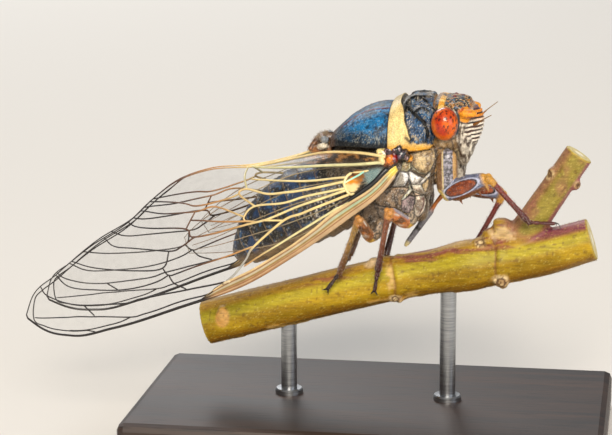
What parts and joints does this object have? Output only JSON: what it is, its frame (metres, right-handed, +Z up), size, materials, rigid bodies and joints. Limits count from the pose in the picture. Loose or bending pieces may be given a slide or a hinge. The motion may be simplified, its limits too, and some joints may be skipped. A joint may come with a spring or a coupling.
{
  "type": "cicada model",
  "caption": "Life-size resting cicada with wings folded like a roof, gripping a cut length of green stem held on rods above a flat base.",
  "frame": {"origin": "middle of the underside of the base", "axes": "+Z up, +X the way the head points, +Y to the insect's left"},
  "size_m": [0.0474, 0.022, 0.0281],
  "materials": {
    "head_cuticle": "fine velvety down over grey-tan cuticle",
    "eye": "glossy, finely faceted",
    "dark_cuticle": "satin, wrinkled",
    "blue_cuticle": "satin, finely grained",
    "brown_cuticle": "satin",
    "thorax_cuticle": "downy plates",
    "abdomen_cuticle": "satin rings",
    "beak_cuticle": "satin",
    "wing_membrane": "clear membrane on dark and cream veins",
    "leg_cuticle": "satin",
    "stem_bark": "smooth green bark",
    "base_wood": "satin dark stain",
    "rod_steel": "brushed"
  },
  "bodies": {
    "root": {"head": "head_cuticle", "eye_right": "eye", "eye_left": "eye", "antenna_right": "dark_cuticle", "antenna_left": "dark_cuticle", "rostrum": "beak_cuticle", "pronotum": "dark_cuticle", "mesonotum": "blue_cuticle", "scutellum": "brown_cuticle", "thorax": "thorax_cuticle", "abdomen": "abdomen_cuticle", "forewing_right": "wing_membrane", "forewing_left": "wing_membrane", "hindwing_right": "wing_membrane", "hindwing_left": "wing_membrane", "foreleg_right": "leg_cuticle", "foreleg_left": "leg_cuticle", "midleg_right": "leg_cuticle", "midleg_left": "leg_cuticle", "hindleg_right": "leg_cuticle", "hindleg_left": "leg_cuticle", "perch": "stem_bark", "stand_base": "base_wood", "stand_rod_rear": "rod_steel", "stand_rod_front": "rod_steel"}
  },
  "joints": []
}
